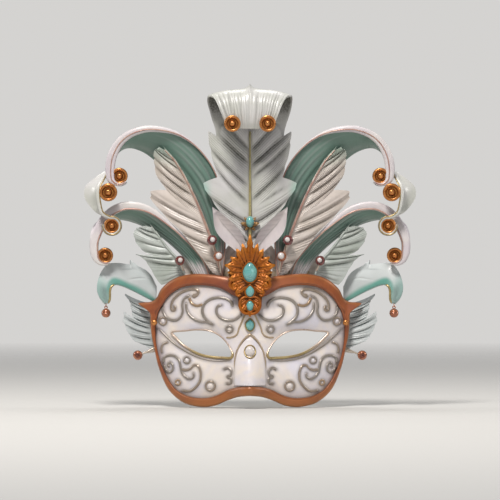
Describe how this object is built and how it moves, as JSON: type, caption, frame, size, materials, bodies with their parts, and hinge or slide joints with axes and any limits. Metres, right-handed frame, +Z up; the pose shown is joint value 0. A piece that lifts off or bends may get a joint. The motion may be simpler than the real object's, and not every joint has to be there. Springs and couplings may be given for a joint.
{
  "type": "masquerade mask",
  "caption": "Half mask for brow, eyes and cheeks with a raised copper band, brow medallion and a fan of moulded, curled plumes.",
  "frame": {"origin": "bridge of the wearer's nose, on the inner side of the shell, midway between the eye openings", "axes": "+Z up, the mask looks along -Y, +X to the right of a viewer who faces the mask"},
  "size_m": [0.2672, 0.0693, 0.2581],
  "materials": {
    "shell_white": "pearl white lacquer, satin, with fine wear",
    "band_copper": "brown copper paint, satin",
    "plume_white": "pearl white, satin",
    "plume_teal": "grey teal with white edges, satin",
    "plume_mint": "pale mint white, satin",
    "gilt": "aged gilt",
    "medallion_brass": "orange brass, darkened in the recesses",
    "stamped_copper": "polished copper plate",
    "turquoise_gem": "polished turquoise",
    "pearl": "pearlescent",
    "lining_felt": "soft felt",
    "backing_board": "grey brown board"
  },
  "bodies": {
    "mask": {"brow_fan_left": "plume_mint", "brow_fan_right": "plume_mint", "brow_gem_lower": "turquoise_gem", "brow_gem_upper": "turquoise_gem", "brow_leaf_left": "plume_white", "brow_leaf_right": "plume_white", "brow_medallion": "medallion_brass", "brow_pad": "lining_felt", "centre_plume": "plume_white", "centre_quill": "gilt", "cheek_pin_left": "stamped_copper", "cheek_pin_right": "stamped_copper", "drop_gem": "turquoise_gem", "ear_fan_left": "plume_mint", "ear_fan_right": "plume_mint", "edge_band": "band_copper", "eye_trim_left": "gilt", "eye_trim_right": "gilt", "face_lining": "lining_felt", "face_shell": "shell_white", "inner_pin_left": "stamped_copper", "inner_pin_right": "stamped_copper", "lower_feather_left": "plume_mint", "lower_feather_right": "plume_mint", "lower_plume_left": "plume_teal", "lower_plume_right": "plume_teal", "lower_rosette_left": "stamped_copper", "lower_rosette_right": "stamped_copper", "medallion_gem": "turquoise_gem", "middle_rosette_left": "stamped_copper", "middle_rosette_right": "stamped_copper", "mounting_plate": "backing_board", "nose_guard": "shell_white", "nose_pearl": "pearl", "outer_pin_left": "stamped_copper", "outer_pin_right": "stamped_copper", "plume_gem": "turquoise_gem", "plume_tip_rosette_left": "stamped_copper", "plume_tip_rosette_right": "stamped_copper", "quill_pin_left": "stamped_copper", "quill_pin_right": "stamped_copper", "ribbon_rivet_left": "stamped_copper", "ribbon_rivet_right": "stamped_copper", "scroll_rosette_left": "stamped_copper", "scroll_rosette_right": "stamped_copper", "side_flap_left": "plume_mint", "side_flap_right": "plume_mint", "tip_eye_left": "stamped_copper", "tip_eye_right": "stamped_copper", "upper_curl_left": "plume_white", "upper_curl_right": "plume_white", "upper_feather_left": "plume_white", "upper_feather_right": "plume_white", "upper_plume_left": "plume_teal", "upper_plume_right": "plume_teal", "upper_rosette_left": "stamped_copper", "upper_rosette_right": "stamped_copper"},
    "bead_left": {"tip_bead_left": "stamped_copper"},
    "bead_right": {"tip_bead_right": "stamped_copper"}
  },
  "joints": [
    {"name": "bead_swing_left", "type": "hinge", "parent": "mask", "child": "bead_left", "pos_m": [-0.1158, 0.0164, 0.0272], "axis": [0, 1, 0], "range_deg": [-35, 35]},
    {"name": "bead_swing_right", "type": "hinge", "parent": "mask", "child": "bead_right", "pos_m": [0.1158, 0.0164, 0.0272], "axis": [0, 1, 0], "range_deg": [-35, 35]}
  ]
}
